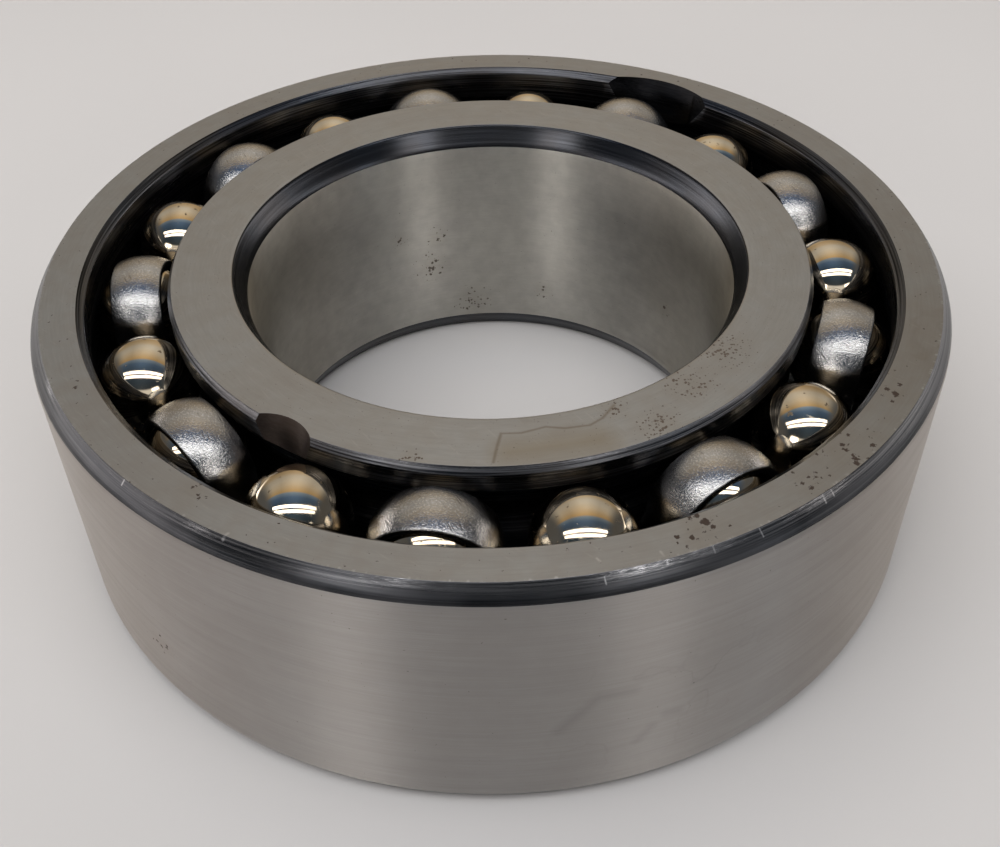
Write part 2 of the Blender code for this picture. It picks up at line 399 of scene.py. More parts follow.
def ringFinish(name, base, changes):
    return steelFinish(name, {**plainSteel, **base, **changes})


# Revolved rings. Side is 1 for the outer ring and -1 for the inner one

def addObject(name, data):
    piece = bpy.data.objects.new(name, data)
    bpy.context.scene.collection.objects.link(piece)
    return piece


def meshOf(name, form, finishes):
    mesh = bpy.data.meshes.new(name)
    form.to_mesh(mesh)
    form.free()
    for finish in finishes:
        mesh.materials.append(finish)
    return mesh


def turnCorner(before, corner, after, size):
    # A corner of an outline, rounded. Points close to it keep the flats beside it flat
    steps = 4
    here = Vector(corner[:2])
    back = Vector(before[:2]) - here
    ahead = Vector(after[:2]) - here
    size = min(size, back.length * 0.4, ahead.length * 0.4)
    guard = size * 1.3
    start, end = here + back.normalized() * size, here + ahead.normalized() * size
    points = [here + back.normalized() * guard]
    for step in range(steps + 1):
        part = step / steps
        points.append(start * (1 - part) ** 2 + here * 2 * part * (1 - part) + end * part ** 2)
    return points + [here + ahead.normalized() * guard]


def grooveHeight(radius):
    return sqrt(bearing["groove"] ** 2 - (radius - bearing["pitch"]) ** 2)


def grooveArc(side, lipLand, ribLand, steps):
    groove, pitch = bearing["groove"], bearing["pitch"]
    lip = atan2(grooveHeight(lipLand), side * (lipLand - pitch))
    rib = -atan2(grooveHeight(ribLand), side * (ribLand - pitch))
    turns = [lip + (rib - lip) * step / steps for step in range(steps + 1)]
    return [(pitch + side * groove * cos(turn), bearing["rowHeight"] + groove * sin(turn)) for turn in turns]


def ringCorners(ring, side, radius, kinds):
    # The top half of a ring's outline. A corner is (radius, height, finish of the stretch after it, rounding)
    face = bearing["face"]
    spots = (
        (radius, face - ring["corner"][1]),
        (radius - side * ring["corner"][0], face),
        (ring["land"] + side * ring["mouth"][0], face),
        (ring["land"], face - ring["mouth"][1]),
    )
    corners = [(*spot, kind, size * mm) for spot, kind, size in zip(spots, kinds, ring["roundings"])]
    groove = grooveArc(side, ring["land"], ring["ribLand"], ring["grooveSteps"])
    return corners + [(*spot, "raceway", 0) for spot in groove]


def lowerHalf(corners, closing):
    # The same corners mirrored and in reverse, so that each stretch starts at its other end
    kinds = [closing] + [corner[2] for corner in corners[:-1]]
    lower = [(corner[0], -corner[1], kind, corner[3]) for corner, kind in zip(corners, kinds)]
    return lower[::-1]


def outlinePoints(loop):
    # A rounding has the finish before it on its first half and the one after it on the other
    points, kinds = [], []
    for number, corner in enumerate(loop):
        before, after = loop[number - 1], loop[(number + 1) % len(loop)]
        turned = turnCorner(before, corner, after, corner[3]) if corner[3] else [Vector(corner[:2])]
        for order, point in enumerate(turned):
            points.append(point)
            kinds.append(before[2] if order < len(turned) // 2 else corner[2])
    return points, kinds


def revolve(name, corners, closing, finishes, segments):
    # Closing is the finish of the stretch that joins the two halves, the outside or the bore
    points, kinds = outlinePoints(corners + lowerHalf(corners, closing))
    names = list(finishes)
    form = bmesh.new()
    rows = []
    for segment in range(segments):
        turn = tau * segment / segments
        spots = [(radius * sin(turn), -radius * cos(turn), height) for radius, height in points]
        rows.append([form.verts.new(spot) for spot in spots])
    for row, beside in zip(rows, rows[1:] + rows[:1]):
        for number, kind in enumerate(kinds):
            after = (number + 1) % len(points)
            face = form.faces.new((row[number], row[after], beside[after], beside[number]))
            face.material_index = names.index(kind)
            face.smooth = True
    bmesh.ops.recalc_face_normals(form, faces=form.faces)
    return addObject(name, meshOf(name, form, finishes.values()))


def notchCutter(ring, side, end, finish):
    # A slanting round cutter, deepest at the face and shallower at the groove
    notch, face = ring["notch"], bearing["face"]
    edge = ring["land"] + side * ring["mouth"][0]
    faceRadius = edge + side * notch["faceDepth"]
    lipRadius = ring["land"] + side * notch["grooveDepth"]
    lipHeight = bearing["rowHeight"] + grooveHeight(lipRadius)
    slant = atan2(faceRadius - lipRadius, face - lipHeight)
    depth = notch["faceDepth"] * cos(slant)
    radius = (notch["width"] ** 2 / 4 + depth ** 2) / (2 * depth)
    reach = hypot(faceRadius - lipRadius, face - lipHeight)
    spare = 6 * mm  # how much longer the cutter is than its cut
    middle = Vector((
        (faceRadius + lipRadius) / 2 - side * radius * cos(slant), 0.0,
        (face + lipHeight) / 2 + side * radius * sin(slant)))
    form = bmesh.new()
    bmesh.ops.create_cone(form, cap_ends=True, segments=notch["segments"], depth=reach + spare,
                          radius1=radius, radius2=radius)
    turn = Matrix.Rotation(notch["angle"] - pi / 2, 4, "Z") @ Matrix.Translation(middle)
    bmesh.ops.transform(form, matrix=turn @ Matrix.Rotation(slant, 4, "Y"), verts=form.verts)
    if end < 0:
        bmesh.ops.scale(form, vec=(1, 1, -1), verts=form.verts)
        bmesh.ops.reverse_faces(form, faces=form.faces)
    return addObject("notchCutter", meshOf("notchCutter", form, [finish]))


def cutNotches(piece, ring, side, finish):
    # One notch at each face
    sharpFrom = radians(32)
    cutters = [notchCutter(ring, side, end, finish) for end in (1, -1)]
    for cutter in cutters:
        cut = piece.modifiers.new("notch", "BOOLEAN")
        cut.object = cutter
        cut.operation = "DIFFERENCE"
        cut.solver = "EXACT"
        cut.material_mode = "TRANSFER"
    graph = bpy.context.evaluated_depsgraph_get()
    mesh = bpy.data.meshes.new_from_object(piece.evaluated_get(graph), depsgraph=graph)
    mesh.name = piece.name
    piece.modifiers.clear()
    piece.data = mesh
    for cutter in cutters:
        bpy.data.objects.remove(cutter)
    mesh.shade_smooth()
    mesh.set_sharp_from_angle(angle=sharpFrom)


def finishPiece(piece, body, node):
    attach(piece, body)
    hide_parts(node)


# What a ring finish has where it names nothing else. Lengths are in millimetres. Stains, pits and worn
# spots are a place on the bearing and how far it reaches
plainSteel = {
    "linesFade": None,
    "lineSoftness": 0.2,
    "roughSpread": 0.04,
    "filmSize": 14.0,
    "filmRough": 0.04,
    "mottle": 0.0,
    "scratches": (),
    "scratchColour": (0.6, 0.58, 0.56),
    "stains": (),
    "stainAmount": 0.35,
    "strokes": (),
    "nicks": (),
    "nickColour": (0.62, 0.62, 0.64),
    "nickRough": 0.7,
    "wornSpots": (),
    "wornAmount": 0.38,
    "pits": (),
    "pitRough": 0.75,
    "pitMetal": 0.15,
    "haloAmount": 0.22,
    "bumpDepth": 0.02,
}

# Scratches are their turn, length, width, how many there are and how strong they show
groundSteel = {
    "dark": (0.375, 0.378, 0.380),
    "light": (0.425, 0.427, 0.428),
    "linesPerMm": 4.5,
    "breaks": 14.0,
    "lineDepth": 0.3,
    "roughness": 0.36,
    "roughSpread": 0.03,
    "anisotropic": 0.4,
    "filmColour": (0.37, 0.342, 0.318),
    "filmAmount": 0.4,
    "mottle": 0.35,
    "mottleSize": 2.2,
    "mottleColour": (0.35, 0.322, 0.298),
    "bump": 0.25,
    "scratches": (
        ((0.2, 0.1, 0.7), 3.2, 0.10, 0.14, 0.16),
        ((0.1, 0.3, -0.5), 1.8, 0.09, 0.10, 0.12),
    ),
    "pitsPerMm": 1.25,
    "pitColour": (0.040, 0.026, 0.018),
    "haloColour": (0.30, 0.25, 0.19),
    "stainEdge": (0.15, 0.105, 0.055),
}

turnedSteel = {
    "dark": (0.016, 0.018, 0.021),
    "light": (0.078, 0.078, 0.081),
    "linesPerMm": 4.2,
    "lineSoftness": 0.08,
    "breaks": 2.0,
    "lineDepth": 0.6,
    "roughness": 0.28,
    "roughSpread": 0.03,
    "anisotropic": 0.5,
    "filmColour": (0.12, 0.12, 0.13),
    "filmAmount": 0.4,
    "bump": 0.5,
}

# Near-black steel with paler turned lines: painted shade for the shoulders, grooves and notch inside the rings,
# and a painted dark reflection on the bore's rounded corner
paintedShadeSteel = {
    "dark": (0.012, 0.015, 0.020),
    "light": (0.160, 0.165, 0.180),
    "linesPerMm": 5.0,
    "lineSoftness": 0.09,
    "breaks": 2.0,
    "lineDepth": 0.8,
    "roughness": 0.27,
    "anisotropic": 0.4,
    "filmColour": (0.05, 0.04, 0.032),
    "filmAmount": 0.5,
    "bump": 0.5,
}

# The grooves the balls run in: painted shade, dark bluish steel where little light gets in
raceway = {
    "dark": (0.040, 0.050, 0.066),
    "light": (0.16, 0.175, 0.20),
    "linesPerMm": 2.4,
    "roughness": 0.26,
    "bump": 0.0,
}

# Strokes go from a radius, turn in degrees and height to another, and have a width
edgeKnocks = (
    ((57.3, 16.7, 19.05), (58.7, 16.9, 18.7), 0.22), ((56.5, 10.2, 19.05), (56.9, 10.4, 19.05), 0.22),
    ((58.0, -28.3, 19.05), (58.7, -28.5, 18.7), 0.26), ((58.5, 27.4, 19.0), (59.1, 27.6, 18.2), 0.13),
    ((58.4, 36.0, 19.0), (59.1, 36.1, 18.2), 0.16), ((58.5, 37.3, 18.9), (59.0, 37.4, 18.3), 0.12),
    ((58.7, 10.4, 18.7), (59.2, 10.5, 18.1), 0.12), ((58.5, 21.9, 19.0), (58.9, 22.0, 18.4), 0.14),
    ((58.5, -43.0, 19.0), (58.9, -43.1, 18.4), 0.14),
)

# Outer ring. Sizes are in metres and roundings in millimetres. Nicks are the edge's radius and height, how
# far they reach from it and how many there are
outerRing = {
    "land": 0.05305,
    "ribLand": 0.0509,
    "corner": (0.00157, 0.0020),
    "mouth": (0.00088, 0.00088),
    "roundings": (0.8, 0.05, 0.05, 0.12),
    "segments": 288,
    "grooveSteps": 18,
    "notch": {"faceDepth": 0.00157, "grooveDepth": 0.0005, "width": 0.0130,
              "angle": radians(148.5), "segments": 160},
    "face": {
        "pits": (((38.6, -41.2, 19), 7.0), ((33.6, -45.6, 19), 3.6), ((20.6, -51.6, 19), 4.6),
                 ((-49.6, -26.7, 19), 3.0), ((-32.0, -44.7, 19), 3.0), ((46.0, -31.0, 19), 3.5)),
        "pitsEverywhere": 0.16,
        "stains": (((50.0, -27.0, 19.0), 46.0),),  # browned on one side
        "stainColour": (0.20, 0.155, 0.10),
        "stainRim": 0.12,
        "nicks": ((58.43, 19.05, 0.35, 0.62), (53.93, 19.05, 0.14, 0.35)),
        "strokes": ((edgeKnocks[:3], 1.0, (0.56, 0.55, 0.54)),),
    },
    "outside": {
        "pits": (((-41.0, -43.8, -8.0), 3.0),),
        "pitsEverywhere": 0.075,
        "filmSize": 9.0,
        "stains": (((15.0, -58.1, -4.0), 13.0), ((24.0, -55.0, -1.0), 10.0)),
        "stainColour": (0.31, 0.293, 0.277),
        "stainEdge": (0.22, 0.205, 0.19),
        "stainRim": 0.3,
        "linesPerMm": 5.5,
        "breaks": 6.0,
        "roughness": 0.46,
        "anisotropic": 1.0,
        "dark": (0.360, 0.340, 0.322),
        "light": (0.410, 0.387, 0.366),
        "mottle": 0.2,
        "scratches": (),
        # a smudge of short wipes
        "strokes": ((
            (((60, 6.1, -4.8), (60, 8.4, -1.9), 1.2), ((60, 8.4, -1.9), (60, 10.4, 0.5), 1.2),
             ((60, 10.4, 0.5), (60, 14.0, 0.3), 1.3), ((60, 18.2, -5.7), (60, 19.6, -5.9), 1.1),
             ((60, 15.0, -9.6), (60, 16.6, -7.4), 1.1)),
            0.38, (0.24, 0.225, 0.21)),),
    },
    "chamfer": {
        "linesFade": (17.7, 18.9),
        "light": (0.113, 0.114, 0.119),
        "strokes": ((edgeKnocks, 0.7, (0.42, 0.42, 0.43)),),
        "nicks": ((58.43, 19.05, 0.95, 0.42), (60.0, 17.05, 0.25, 0.20)),
        "wornSpots": (((14.0, -57.0, 18.4), 9.0), ((22.0, -54.4, 18.4), 7.0), ((34.0, -47.8, 18.4), 8.0),
                      ((-30.7, -49.6, 18.4), 3.5), ((-9.0, -58.0, 18.4), 6.0), ((-52.0, -27.0, 18.4), 4.0)),
    },
    # near black: painted shade in the notch's hollow
    "notchSteel": {
        "dark": (0.006, 0.007, 0.009),
        "light": (0.012, 0.013, 0.015),
        "filmAmount": 0.1,
        "lineDepth": 0.3,
    },
}


def makeOuterRing(ring):
    finishes = {
        "face": ringFinish("outerRingFace", groundSteel, ring["face"]),
        "outside": ringFinish("outerRingOutside", groundSteel, ring["outside"]),
        "chamfer": ringFinish("outerRingChamfer", turnedSteel, ring["chamfer"]),
        # the shoulder, the groove and the notch are painted with shade
        "shoulder": ringFinish("outerRingShoulder", paintedShadeSteel, {}),
        "raceway": ringFinish("outerRaceway", paintedShadeSteel, raceway),
    }
    kinds = ("chamfer", "face", "shoulder", "shoulder")
    corners = ringCorners(ring, 1, bearing["outside"] / 2, kinds)
    piece = revolve("outer_ring_fine", corners, "outside", finishes, ring["segments"])
    cutNotches(piece, ring, 1, ringFinish("outerNotch", paintedShadeSteel, ring["notchSteel"]))
    finishPiece(piece, "outer", "outer_ring")


# Inner ring, in the same units
innerRing = {
    "land": 0.0426,
    "ribLand": 0.04155,
    "mouth": (0.00056, 0.00087),
    "corner": (0.00168, 0.0030),
    "roundings": (0.9, 0.35, 0.05, 0.12),
    "segments": 256,
    "grooveSteps": 16,
    "notch": {"faceDepth": 0.00144, "grooveDepth": 0.0007, "width": 0.0079,
              "angle": radians(-34.3), "segments": 160},
    "face": {
        "pits": (((18.6, -35.9, 19), 5.0), ((22.9, -29.1, 19), 5.0), ((27.8, -22.8, 19), 5.5),
                 ((-9.0, -40.8, 19), 2.4), ((27.0, -36.2, 19), 3.0), ((14.0, -33.0, 19), 3.0)),
        "dark": (0.405, 0.406, 0.405),
        "light": (0.460, 0.461, 0.458),
        "filmColour": (0.40, 0.372, 0.345),
        "mottleColour": (0.38, 0.352, 0.325),
        "pitsEverywhere": 0.15,
        "pitsPerMm": 2.8,
        "pitColour": (0.085, 0.062, 0.045),
        # a tan patch with a thin dark rim on two sides
        "strokes": (
            ((((39.9, 2.5, 19), (39.9, 17.0, 19), 3.4),), 0.75, (0.36, 0.315, 0.25)),
            ((((41.4, -0.2, 19), (39.0, 0.4, 19), 0.28), ((39.0, 0.4, 19), (36.8, 1.2, 19), 0.30),
              ((36.8, 1.2, 19), (36.9, 4.7, 19), 0.24), ((36.9, 4.7, 19), (36.3, 9.2, 19), 0.26),
              ((36.3, 9.2, 19), (37.0, 12.4, 19), 0.26), ((37.0, 12.4, 19), (37.3, 16.8, 19), 0.24),
              ((37.3, 16.8, 19), (36.7, 19.5, 19), 0.26), ((36.7, 19.5, 19), (35.2, 23.0, 19), 0.30)),
             0.65, (0.18, 0.135, 0.09)),
        ),
        "nicks": ((42.04, 19.05, 0.16, 0.45), (34.18, 19.05, 0.2, 0.3)),
        "scratches": (
            ((0.0, 0.0, 0.95), 4.2, 0.10, 0.24, 0.22),
            ((0.1, 0.1, -0.45), 2.4, 0.09, 0.14, 0.14),
        ),
    },
    "bore": {
        "pits": (((-9.7, 31.0, -5.1), 4.0), ((-14.5, 29.1, 1.6), 2.0), ((-8.6, 31.3, 0.5), 2.6),
                 ((-3.1, 32.4, -13.0), 4.5), ((8.8, 31.3, -10.5), 2.4), ((27.4, 17.5, -4.9), 2.0)),
        "pitsEverywhere": 0.1,
        "pitsPerMm": 1.9,
        "pitColour": (0.10, 0.080, 0.062),
        "anisotropic": 1.0,
        "roughness": 0.42,
        "scratches": (),
        "linesPerMm": 6.5,
        "dark": (0.50, 0.482, 0.435),
        "light": (0.55, 0.532, 0.482),
        "filmColour": (0.46, 0.437, 0.38),
        "bump": 0.15,
    },
    # dark bluish steel: a painted dark reflection
    "boreCorner": {
        "light": (0.085, 0.092, 0.106),
        "lineSoftness": 0.3,
        "lineDepth": 0.3,
        "roughness": 0.24,
    },
    "shoulder": {
        "nicks": ((42.04, 19.05, 0.5, 0.55), (42.6, 18.2, 0.3, 0.4)),
    },
    "notchSteel": {
        "dark": (0.085, 0.066, 0.056),
        "light": (0.105, 0.083, 0.071),
        "filmColour": (0.080, 0.060, 0.050),
        "roughness": 0.40,
        "lineDepth": 0.2,
    },
}


def makeInnerRing(ring):
    finishes = {
        "bore": ringFinish("innerRingBore", groundSteel, ring["bore"]),
        "face": ringFinish("innerRingFace", groundSteel, ring["face"]),
        # painted dark reflection on the bore's corner
        "boreCorner": ringFinish("boreCorner", paintedShadeSteel, ring["boreCorner"]),
        # painted shade on the mouth, the shoulder and the groove
        "mouth": ringFinish("innerRingMouth", paintedShadeSteel, ring["shoulder"]),
        "shoulder": ringFinish("innerRingShoulder", paintedShadeSteel, ring["shoulder"]),
        "raceway": ringFinish("innerRaceway", paintedShadeSteel, raceway),
    }
    kinds = ("boreCorner", "face", "mouth", "shoulder")
    corners = ringCorners(ring, -1, bearing["bore"] / 2, kinds)
    piece = revolve("inner_ring_fine", corners, "bore", finishes, ring["segments"])
    cutNotches(piece, ring, -1, ringFinish("innerNotch", turnedSteel, ring["notchSteel"]))
    finishPiece(piece, "inner", "inner_ring")


# Cages: a zig-zag strap over the covered balls and under the open ones. Sizes are in metres, grain and
# cloud sizes in millimetres
strap = {
    "sheet": 0.0007,
    "width": 0.0066,
    "pocketGap": 0.00035,
    "pocketSideGap": 0.0007,
    "edgeRound": 0.00018,
    "edgeSteps": 3,
    "lanes": 12,
    "bendSteps": 22,
    "foldTurn": radians(64),
    "foldWidth": radians(6),
    "foldHeight": 0.00013,
    "colour": (0.51, 0.492, 0.470),
    "tint": (0.43, 0.402, 0.375),
    "tintAmount": 0.6,
    "cloudSize": 7.0,
    "roughness": 0.15,
    "cloudRough": 0.05,
    "grainsPerMm": 4.2,
    "grainDepth": 0.08,
    "bump": 0.6,
    # a pale colour laid on the dimples' tops: painted glints
    "paintedGlint": (0.85, 0.84, 0.83),
    "paintedGlintAmount": 0.5,
    "drag": {"Turn": (0.4, 0.2, 1.1), "Length": 2.2, "Width": 0.12, "Amount": 0.3},
    "dragColour": (0.25, 0.22, 0.2),
    "dragAmount": 0.35,
    "dragDepth": 0.3,
}


def strapPath(over, under, span, stretch):
    # Half a wave: over a covered ball, with a small press fold, and down under the next one
    web = over * stretch
    crest, trough = [], []
    steps = strap["bendSteps"]
    for step in range(steps + 1):
        turn = pi / 2 * step / steps
        fold = 1 + strap["foldHeight"] / over * exp(-((turn - strap["foldTurn"]) / strap["foldWidth"]) ** 2)
        crest.append((web * sin(turn) * fold, over * cos(turn) * fold))
        trough.append((span - (span - web) * cos(turn), -under * sin(turn)))
    return crest + trough[1:]


def strapLine(offset, depth, rowSide):
    # One line along the strap: offset from the pitch circle, depth below its top side
    pocket = bearing["ball"] / 2 + strap["pocketGap"]
    radius = bearing["pitch"] + offset
    over = sqrt((pocket + strap["sheet"] - depth) ** 2 - offset ** 2)
    under = sqrt((pocket + depth) ** 2 - offset ** 2)
    step = tau / bearing["balls"]
    stretch = 2 * sqrt(radius * bearing["pitch"])
    span = 2 * stretch * sin(step / 4)
    path = strapPath(over, under, span, (bearing["ball"] / 2 + strap["pocketSideGap"]) / pocket)
    back = [(span - along, height) for along, height in reversed(path)]
    line = []
    for gap in range(bearing["balls"]):
        wave = path if gap % 2 == 0 else back
        for along, height in wave[:-1]:
            if along < span / 2:
                turn = gap * step + 2 * asin(along / stretch)
            else:
                turn = (gap + 1) * step - 2 * asin((span - along) / stretch)
            line.append((radius * sin(turn), -radius * cos(turn), rowSide * height))
    return line


def strapSection():
    # Offsets and depths round the strap's cross-section, with its edges rounded
    half, sheet, edge = strap["width"] / 2, strap["sheet"], strap["edgeRound"]
    section = []
    for lane in range(strap["lanes"] + 1):
        section.append(((lane / strap["lanes"] * 2 - 1) * (half - edge * 1.4), 0.0))
    for centre, start in ((edge, pi / 2), (sheet - edge, 0.0)):
        for step in range(strap["edgeSteps"] + 1):
            turn = start - pi / 2 * step / strap["edgeSteps"]
            section.append((half - edge + edge * cos(turn), centre - edge * sin(turn)))
    return section + [(-offset, sheet - depth) for offset, depth in section]


def strapFinish():
    material, tree, shader, polar = startMaterial("pressedStrap")
    position = polar["Position"]
    dimples = place(tree, grain, {"Position": position, "Grains per mm": strap["grainsPerMm"]})
    clouds = place(tree, film, {"Position": position, "Size in mm": strap["cloudSize"]})["Mask"]
    drag = place(tree, fineScratches, {"Position": position, **strap["drag"]})["Mask"]
    colour = layer(tree, strap["colour"], strap["tint"], clouds, strap["tintAmount"])
    # painted glint: a pale colour on the tops of the dimples, standing in for their sparkling highlights
    colour = layer(tree, colour, strap["paintedGlint"], dimples["Painted Glint"], strap["paintedGlintAmount"])
    colour = layer(tree, colour, strap["dragColour"], drag, strap["dragAmount"])
    rough = remap(tree, clouds, 0.0, 1.0, strap["roughness"], strap["roughness"] + strap["cloudRough"])
    height = calc(tree, "SUBTRACT", dimples["Height"], calc(tree, "MULTIPLY", drag, strap["dragDepth"]))
    bump = addNode(tree, "ShaderNodeBump", {
        "Height": height, "Strength": strap["bump"], "Distance": strap["grainDepth"] * mm})
    plug(tree, shader, "Base Color", colour)
    plug(tree, shader, "Roughness", rough)
    plug(tree, shader, "Metallic", 1.0)
    plug(tree, shader, "Normal", bump.outputs[0])
    return material


def makeCage(label, rowSide, crestAngle, finish):
    form = bmesh.new()
    grid = [[form.verts.new(point) for point in strapLine(*spot, rowSide)] for spot in strapSection()]
    for line, beside in zip(grid, grid[1:] + grid[:1]):
        for corners in zip(line, line[1:] + line[:1], beside[1:] + beside[:1], beside):
            form.faces.new(corners).smooth = True
    bmesh.ops.recalc_face_normals(form, faces=form.faces)
    turn = Matrix.Translation((0, 0, rowSide * bearing["rowHeight"])) @ Matrix.Rotation(crestAngle, 4, "Z")
    bmesh.ops.transform(form, matrix=turn, verts=form.verts)
    piece = addObject(f"strap_{label}", meshOf(f"strap_{label}", form, [finish]))
    finishPiece(piece, f"cage_{label}", f"cage_{label}")


# Balls: a cube blown up to a sphere, so that no face is pinched at a pole
balls = {
    "cuts": 20,
    "colour": (0.78, 0.68, 0.52),
    "tarnish": (0.62, 0.44, 0.24),
    "tarnishAmount": 0.45,
    "cloudSize": 6.0,
    "roughness": 0.05,
    "cloudRough": 0.05,
    "spots": {"Amount": 0.24, "Pits per mm": 0.9},
    "spotColour": (0.12, 0.075, 0.04),
    "spotAmount": 0.7,
    "spotRough": 0.4,
    "hair": {"Turn": (0.9, 0.4, 0.3), "Length": 3.0, "Width": 0.05, "Amount": 0.2},
    "hairRough": 0.12,
}


def ballFinish():
    material, tree, shader, polar = startMaterial("polishedBall")
    position = polar["Position"]
    clouds = place(tree, film, {"Position": position, "Size in mm": balls["cloudSize"]})["Mask"]
    spots = place(tree, rustPits, {"Position": position, **balls["spots"]})["Mask"]
    hair = place(tree, fineScratches, {"Position": position, **balls["hair"]})["Mask"]
    colour = layer(tree, balls["colour"], balls["tarnish"], clouds, balls["tarnishAmount"])
    colour = layer(tree, colour, balls["spotColour"], spots, balls["spotAmount"])
    rough = remap(tree, clouds, 0.0, 1.0, balls["roughness"], balls["roughness"] + balls["cloudRough"])
    rough = calc(tree, "ADD", rough, calc(tree, "MULTIPLY", spots, balls["spotRough"]))
    rough = calc(tree, "ADD", rough, calc(tree, "MULTIPLY", hair, balls["hairRough"]))
    plug(tree, shader, "Base Color", colour)
    plug(tree, shader, "Roughness", rough)
    plug(tree, shader, "Metallic", 1.0)
    return material


def ballMesh(finish):
    form = bmesh.new()
    bmesh.ops.create_cube(form, size=2.0)
    bmesh.ops.subdivide_edges(form, edges=form.edges, cuts=balls["cuts"], use_grid_fill=True)
    for corner in form.verts:
        even = Vector(tan(value * pi / 4) for value in corner.co)  # evens out the squares
        corner.co = even.normalized() * bearing["ball"] / 2
    for face in form.faces:
        face.smooth = True
    return meshOf("ball", form, [finish])


def makeRow(label, rowSide, crestAngle, mesh):
    step = tau / bearing["balls"]
    for number in range(bearing["balls"]):
        turn = crestAngle + number * step
        centre = (bearing["pitch"] * sin(turn), -bearing["pitch"] * cos(turn), rowSide * bearing["rowHeight"])
        name = f"ball_{label}_{number + 1:02d}"
        placed = mesh.copy()
        placed.transform(Matrix.Translation(centre))
        finishPiece(addObject(f"polished_{name}", placed), name, name)


makeOuterRing(outerRing)
print("outer ring ready")
makeInnerRing(innerRing)
print("inner ring ready")
strapSteel = strapFinish()
makeCage("upper", 1, bearing["upperCrest"], strapSteel)
makeCage("lower", -1, bearing["lowerCrest"], strapSteel)
print("cages ready")
sphere = ballMesh(ballFinish())
makeRow("upper", 1, bearing["upperCrest"], sphere)
makeRow("lower", -1, bearing["lowerCrest"], sphere)
print("balls ready")


# Floor, light and camera. Places and sizes are in metres, the floor's painted shade in millimetres from the axis
studio = {
    "floorColour": (0.635, 0.610, 0.592),
    "floorShade": (0.530, 0.511, 0.497),
    "floorSize": 4.0,
    "floorRoughness": 0.6,
    "floorGap": 0.02 * mm,  # below the bearing, so that the two don't lie in one plane
    "shadeFrom": 60.0,
    "shadeTo": -90.0,
    "shadeMost": 0.75,
    "cloudSize": 90.0,
    "cloudShade": 0.15,
    "lampPower": 0.94,
    "lampSize": (1.15, 0.075),
    "lampGap": 0.124,
    "lampPlace": (0.0, -0.29, 0.60),
    "softPower": 32.0,
    "softSize": (2.6, 2.6),
    "softPlace": (-0.45, -0.4, 1.9),
    # World colours. overhead goes from the horizon behind the bearing, over the top, to the one behind the
    # camera; around is the light low down, 0.5 being behind the camera and 0.25 its left
    "overhead": ((0.0, (0.60, 0.585, 0.57)), (0.03, (0.58, 0.56, 0.54)), (0.045, (0.40, 0.30, 0.18)),
                 (0.14, (0.52, 0.44, 0.33)), (0.20, (0.60, 0.585, 0.56)), (0.26, (0.67, 0.65, 0.615)),
                 (0.33, (0.69, 0.62, 0.52)), (0.42, (0.60, 0.44, 0.24)), (0.438, (0.24, 0.34, 0.50)),
                 (0.49, (0.10, 0.17, 0.32)), (0.60, (0.04, 0.08, 0.15)), (0.80, (0.045, 0.06, 0.08))),
    "flank": (0.085, 0.09, 0.10),
    "towardsFlank": 0.64,
    "dimmed": (0.08, 0.40),
    "flankStart": (0.58, 0.84),
    "around": ((0.150, (4.10, 3.88, 3.72)), (0.264, (4.00, 3.74, 3.59)), (0.330, (3.10, 2.89, 2.77)),
               (0.390, (0.70, 0.65, 0.62)), (0.430, (0.55, 0.52, 0.50)), (0.438, (0.02, 0.025, 0.03)),
               (0.590, (0.02, 0.025, 0.03)), (0.610, (0.20, 0.19, 0.18)), (0.645, (1.30, 1.28, 1.26)),
               (0.665, (2.20, 2.30, 2.40)), (0.690, (1.80, 1.70, 1.62)), (0.75, (2.70, 2.55, 2.44)),
               (0.850, (3.20, 3.04, 2.92))),
    "aroundTop": (0.25, 0.15),
    "aroundEnd": (radians(150), radians(115)),
    # two windows, by the same turn and by the sine of their height
    "windowTurn": ((0.378, 0.0), (0.392, 1.0), (0.425, 1.0), (0.436, 0.12), (0.564, 0.12), (0.575, 0.8),
                   (0.606, 0.8), (0.622, 0.0)),
    "windowHeight": ((0.27, 0.0), (0.33, 1.0), (0.46, 1.0), (0.52, 0.0)),
    "windowColour": (6.1, 5.93, 5.8),
}

# The photograph's angle
view = {
    "yaw": radians(0.388),
    "pitch": radians(41.93),
    "roll": radians(-0.977),
    "place": (0.0, -0.13712, 0.11067),
    "lens": 43.90,
    "sensor": 36.0,
    "nearest": 0.005,
}


def makeFloor():
    material, tree, shader, polar = startMaterial("paleFloor")
    clouds = place(tree, film, {"Position": polar["Position"], "Size in mm": studio["cloudSize"], "Detail": 1.0})
    # painted shade: the floor's colour darkens towards the camera, as the light falls off there; the clouds add
    # random tone
    ahead = addNode(tree, "ShaderNodeSeparateXYZ", {0: polar["Position"]}).outputs[1]
    shade = remap(tree, ahead, studio["shadeFrom"], studio["shadeTo"], 0.0, studio["shadeMost"])
    shade = calc(tree, "MULTIPLY_ADD", clouds["Mask"], studio["cloudShade"], shade)
    plug(tree, shader, "Base Color", mixColour(tree, shade, studio["floorColour"], studio["floorShade"]))
    plug(tree, shader, "Roughness", studio["floorRoughness"])
    half, low = studio["floorSize"], -bearing["face"] - studio["floorGap"]
    mesh = bpy.data.meshes.new("floor")
    mesh.from_pydata([(-half, -half, low), (half, -half, low), (half, half, low), (-half, half, low)], [],
                     [(0, 1, 2, 3)])
    mesh.materials.append(material)
    floor = addObject("floor", mesh)


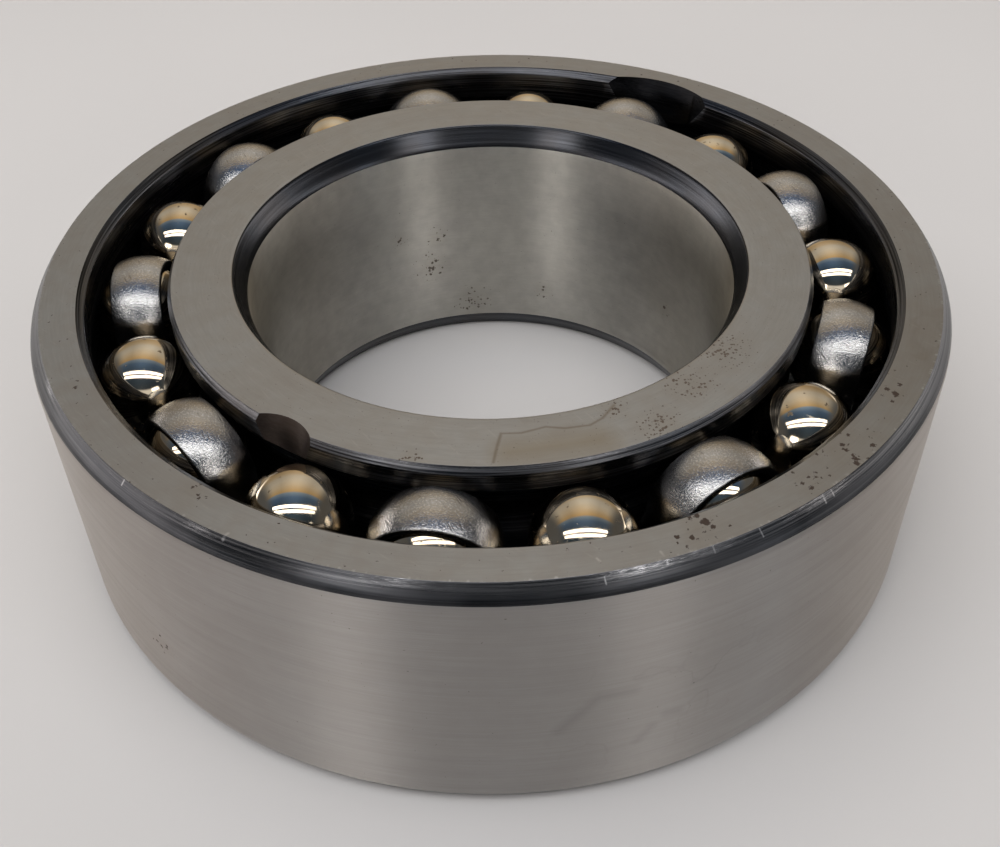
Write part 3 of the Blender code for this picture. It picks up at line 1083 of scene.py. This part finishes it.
def addLamp(name, power, size, spot):
    # An area lamp that looks at the middle of the bearing
    light = bpy.data.lights.new(name, "AREA")
    light.shape = "RECTANGLE"
    light.size, light.size_y = size
    light.energy = power
    lamp = addObject(name, light)
    lamp.location = spot
    aim = Vector((0.0, 0.0, 0.0)) - Vector(spot)
    lamp.rotation_euler = aim.to_track_quat("-Z", "Y").to_euler()
    return lamp


def makeLamps():
    # Two bars side by side, as in the photo's reflections, and a wide soft lamp
    x, y, z = studio["lampPlace"]
    for number, side in enumerate((-1, 1)):
        spot = (x, y + side * studio["lampGap"] / 2, z)
        addLamp(f"bar{number}", studio["lampPower"], studio["lampSize"], spot)
    softLamp = addLamp("softLamp", studio["softPower"], studio["softSize"], studio["softPlace"])
    softLamp.visible_glossy = False  # fills the floor without a white square in every ball


def ramp(tree, value, stops):
    # Each stop is a share of the way and its colour or grey
    node = addNode(tree, "ShaderNodeValToRGB", {0: value})
    points = node.color_ramp.elements
    while len(points) < len(stops):
        points.new(0.5)
    for point, (spot, colour) in zip(points, stops):
        point.position = spot
        point.color = (*colour, 1.0) if isinstance(colour, tuple) else (colour, colour, colour, 1.0)
    return node.outputs[0]


def makeWorld():
    # Light by direction: warm behind the bearing, blue-grey behind the camera, dark high up at the sides,
    # bright low down at the sides
    world = bpy.data.worlds.new("studio")
    bpy.context.scene.world = world
    world.use_nodes = True
    tree = world.node_tree
    heading = addNode(tree, "ShaderNodeTexCoord").outputs["Generated"]
    right, ahead, up = addNode(tree, "ShaderNodeSeparateXYZ", {0: heading}).outputs
    # overhead, by the angle from the horizon behind the bearing over to the one behind the camera
    over = remap(tree, calc(tree, "ARCTAN2", up, ahead), 0.0, pi)
    offside = calc(tree, "ABSOLUTE", right)
    dimmed = remap(tree, offside, *studio["dimmed"], 1.0, studio["towardsFlank"])
    above = vectorCalc(tree, "SCALE", ramp(tree, over, studio["overhead"]), dimmed)
    beside = remap(tree, offside, *studio["flankStart"], smooth=True)
    colour = mixColour(tree, beside, above, studio["flank"])
    # low down, by the turn round the axis
    turn = calc(tree, "ARCTAN2", right, calc(tree, "MULTIPLY", ahead, -1.0))
    share = remap(tree, turn, -pi, pi)
    window = calc(tree, "MULTIPLY", ramp(tree, share, studio["windowTurn"]),
                  ramp(tree, up, studio["windowHeight"]))
    colour = mixColour(tree, window, colour, studio["windowColour"])
    low = remap(tree, up, *studio["aroundTop"], smooth=True)
    there = remap(tree, calc(tree, "ABSOLUTE", turn), *studio["aroundEnd"], smooth=True)
    around = ramp(tree, share, studio["around"])
    colour = mixColour(tree, calc(tree, "MULTIPLY", low, there), colour, around)
    plug(tree, tree.nodes["Background"], "Color", colour)
    plug(tree, tree.nodes["Background"], "Strength", 1.0)


def makeCamera():
    yaw, pitch, roll = view["yaw"], view["pitch"], view["roll"]
    ahead = Vector((sin(yaw) * cos(pitch), cos(yaw) * cos(pitch), -sin(pitch)))
    right = Vector((cos(yaw), -sin(yaw), 0.0))
    top = right.cross(ahead)
    right, top = right * cos(roll) + top * sin(roll), top * cos(roll) - right * sin(roll)
    lens = bpy.data.cameras.new("camera")
    lens.lens = view["lens"]
    lens.sensor_width = view["sensor"]
    lens.clip_start = view["nearest"]
    camera = addObject("camera", lens)
    turned = Matrix((right, top, -ahead)).transposed().to_4x4()
    camera.matrix_world = Matrix.Translation(view["place"]) @ turned
    bpy.context.scene.camera = camera


makeFloor()
makeLamps()
makeWorld()
makeCamera()
bpy.context.scene.view_settings.view_transform = "Standard"
print("floor, light and camera ready")
